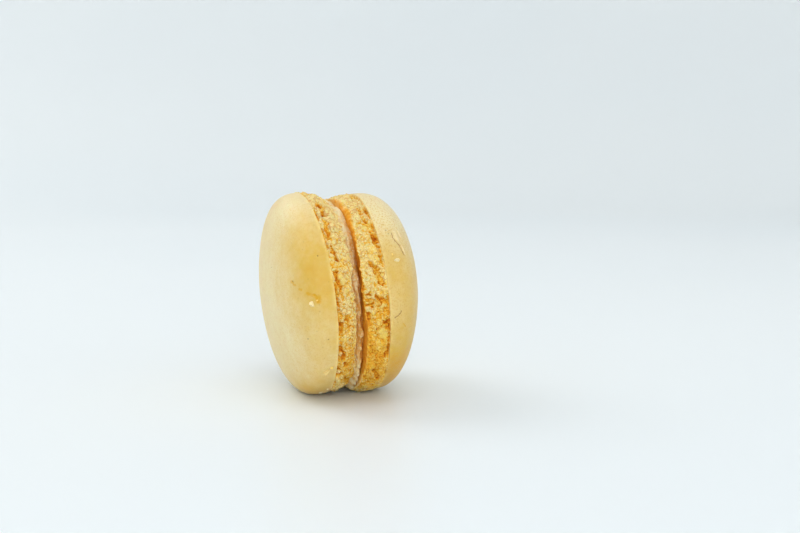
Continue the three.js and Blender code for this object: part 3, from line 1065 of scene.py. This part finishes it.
def baked_skin(shell, points):
    """The cap's satin skin, with its pores, scuffs, scratches and cracks."""
    name = shell["name"]
    s = Shader(name + "_skin")
    here = s.ragged_place(wavelength=0.5, amount=0.5)

    def drawn(strokes):
        placed = []
        for start, end, width in strokes:
            placed.append((on_surface(shell, points, start), on_surface(shell, points, end), width))
        return s.strokes(here, placed)

    steps = [step for chain in CRACKS[name] for step in zip(chain, chain[1:])]
    cracks = drawn([(start, end, CRACK_WIDTH) for start, end in steps])
    flakes = drawn(FLAKES[name])
    pores = drawn([(spot, spot, PORE_SIZE) for spot in PORES_ON_CAP[name]])
    scuffs = drawn(SCUFFS[name])
    stains = s.math("MAXIMUM", scuffs, s.times(drawn(SCRATCHES[name]), 0.8))
    tiny = s.specks(spacing=1.6, size=0.2)
    grain = s.noise(0.35)
    mottle = s.noise(1.5)
    grainy = GRAINY[name]

    # tone: uneven browning with painted light, paler on top and warm painted shade low down, and random
    # mottle
    tone = s.weighted((s.mark("tone"), 1.0), (s.noise(8.0, detail=2.0), 1.2), (mottle, 1.1))
    colour = s.painted(
        s.ramp(s.between(tone, *TONE_RANGE, how="LINEAR"), SKIN_STOPS),
        (s.between(grain, -0.05, 0.25), 0.45 * grainy, SKIN["grain"]),
        (s.patches(1.6, -0.2, 0.2), s.times(s.mark("lip"), LIP_SHOWN[name]), SKIN["lip"]),
        (tiny, 0.25, SKIN["pore"]),
        (stains, s.patches(0.6, -0.4, 0.1, detail=2.0), SKIN["scuff"]),
        (flakes, s.patches(0.7, -0.3, 0.1, detail=2.0), SKIN["flake"]),
        (pores, 0.8, SKIN["pore"]),
        (cracks, 0.8, SKIN["crack"]),
    )
    bumps = s.weighted(
        (tiny, -0.2),
        (pores, -1.0),
        (cracks, -0.6),
        (scuffs, -0.4),
        (flakes, 1.0),
        (grain, 0.5 * grainy),
        (mottle, 0.5 * grainy),
    )
    return s.surface(
        Base_Color=colour,
        Roughness=s.total(0.45, s.times(scuffs, 0.2), s.times(mottle, 0.2)),
        Specular_IOR_Level=0.35,
        Sheen_Weight=0.12,
        Sheen_Roughness=0.4,
        Subsurface_Weight=0.3,
        Subsurface_Radius=(1.0, 0.45, 0.12),
        Subsurface_Scale=1.5 * MM,
        Normal=s.bump(bumps, distance=0.12),
    )


def baked_crumb():
    """The foot's porous crumb, toasted and painted in shade where it is sunk and in its creases, and the
    smooth browned base, painted darker in shade near the gap.
    """
    s = Shader("baked_crumb")
    base, sunk = s.mark("base"), s.mark("sunk")
    number, between_crumbs = s.crumbs(1.0)
    small_number, between_small = s.crumbs(0.5)
    between_crumbs = s.times(between_crumbs, s.patches(1.8, -0.2, 0.1, detail=2.0))
    creases = s.math("MAXIMUM", between_crumbs, s.times(between_small, 0.4))
    fine = s.creases(0.38)
    specks = s.math("MAXIMUM", s.specks(0.9, 0.18), s.specks(0.55, 0.12))
    uneven = s.weighted((s.noise(1.6, detail=2.0), 0.5), (number, 0.15), (small_number, 0.2))
    blotches = s.weighted((s.noise(1.6), 0.7), (s.noise(0.6), 0.8))
    colour = s.painted(
        # toasting with painted light and shade: pale on crests, darker and more orange where sunk
        s.ramp(s.total(sunk, uneven, CRUMB_SHIFT), CRUMB_TOAST_AND_SHADE_STOPS),
        # painted shade in the fine creases and between the crumbs
        (fine, 0.2, CRUMB["crease"]),
        (creases, 0.65, CRUMB["deep"]),
        (specks, 0.5, CRUMB["speck"]),
        (s.mark("yellow"), 0.6, CRUMB["yellow"]),
        # the browned base, darker where shade is painted near the gap
        (base, 1.0, s.ramp(s.total(sunk, blotches, BASE_SHIFT), BASE_BROWNING_AND_SHADE_STOPS)),
    )
    pits = s.weighted((creases, -0.5), (fine, -0.5), (s.noise(0.3), 1.0), (specks, -0.5))
    return s.surface(
        Base_Color=colour,
        Roughness=s.total(0.85, s.times(base, -0.2)),
        Specular_IOR_Level=0.1,
        Subsurface_Weight=0.2,
        Subsurface_Radius=(1.0, 0.4, 0.1),
        Subsurface_Scale=0.5 * MM,
        Normal=s.bump(pits, distance=0.14, Strength=s.total(1.0, s.times(base, -0.5))),
    )


def buttercream():
    """Ivory where it nears the edge, and tan deep in the gap and low down: painted shade, where the shells
    shade the cream.
    """
    s = Shader("buttercream")
    deep = s.weighted((s.mark("deep"), 1.0), (s.noise(1.0), 4.0), (s.noise(0.4), 3.0))
    colour = s.painted(
        CREAM_TONES["ivory"],
        (s.patches(1.6, -0.15, 0.15), 1.0, CREAM_TONES["butter"]),
        # tan deep in the gap: painted shade
        (s.between(deep, 0.7, 2.7), 1.0, CREAM_TONES["tan"]),
        (s.specks(0.7, 0.3), 0.5, CREAM_TONES["ivory"]),
    )
    return s.surface(
        Base_Color=colour,
        Roughness=s.total(0.65, s.times(s.noise(0.8, detail=2.0), 0.3)),
        Specular_IOR_Level=0.25,
        Subsurface_Weight=0.25,
        Subsurface_Radius=(1.0, 0.7, 0.4),
        Subsurface_Scale=0.8 * MM,
        Normal=s.bump(s.noise(0.4), distance=0.12),
    )


def loose_crumb():
    s = Shader("loose_crumb")
    colour = s.painted(
        CRUMB["loose"],
        (s.mark("white"), 1.0, CRUMB["white"]),
        (s.patches(0.5, 0.0, 0.2), 0.4, CRUMB["loose"]),
    )
    return s.surface(Base_Color=colour, Roughness=0.8, Normal=s.bump(s.noise(0.25), distance=0.06))


# ---- stage, light and camera


def make_studio():
    """A plain pale floor that curves up all round into a plain wall."""
    floor, curve = STUDIO["floor_radius"], STUDIO["curve"]
    outline = [(0.0, 0.0), (floor, 0.0)]
    for turn in np.linspace(0, 90, STUDIO["curve_steps"])[1:]:
        outline.append((floor + curve * math.sin(turn * DEGREES), curve * (1 - math.cos(turn * DEGREES))))
    outline.append((floor + curve, STUDIO["wall_top"]))
    rings = []
    for radius, height in outline:
        flat = own_points(radius, columns(STUDIO["columns"] if radius else 1), height) / MM
        rings.append(flat - (0, 0, STUDIO["below"]))
    faces, _ = skin_faces([len(r) for r in rings])
    s = Shader("studio_paper")
    tone = s.mix(s.patches(400.0, -0.2, 0.2, detail=2.0), STUDIO["paper"], STUDIO["paper_shade"])
    paper = s.surface(Base_Color=tone, Roughness=STUDIO["roughness"], Specular_IOR_Level=0.5)
    make_object("studio", np.concatenate(rings), [face[::-1] for face in faces], [paper])


def make_light(name, place_at, size, power):
    """A round soft light that faces the macaron."""
    light = bpy.data.lights.new(name, "AREA")
    light.shape = "DISK"
    light.size = size
    light.energy = power
    lamp = add_object(name, light)
    lamp.location = place_at
    x, y, z = place_at
    lamp.rotation_euler = (math.atan2(math.hypot(x, y), z), 0.0, math.atan2(x, -y))
    lamp.visible_camera = False


def light_scene():
    world = bpy.data.worlds.new("daylight")
    world.use_nodes = True
    background = world.node_tree.nodes["Background"]
    background.inputs["Color"].default_value = SKY["colour"]
    background.inputs["Strength"].default_value = SKY["strength"]
    bpy.context.scene.world = world
    for lamp in LAMPS:
        make_light(*lamp)


def make_camera():
    camera = bpy.data.cameras.new("camera")
    camera.lens = CAMERA["lens"]
    camera.sensor_width = CAMERA["sensor"]
    camera.clip_start = CAMERA["nearest"]
    eye = add_object("camera", camera)
    eye.location = CAMERA["place"]
    eye.rotation_euler = ((90 - CAMERA["pitch"]) * DEGREES, 0.0, -CAMERA["turn"] * DEGREES)
    bpy.context.scene.camera = eye


crumb = baked_crumb()
shell_points = {shell["name"]: make_shell(shell, crumb) for shell in SHELLS}
make_cream(buttercream())
make_crumbs(loose_crumb(), shell_points)
make_studio()
light_scene()
make_camera()
bpy.context.scene.view_settings.view_transform = "Standard"
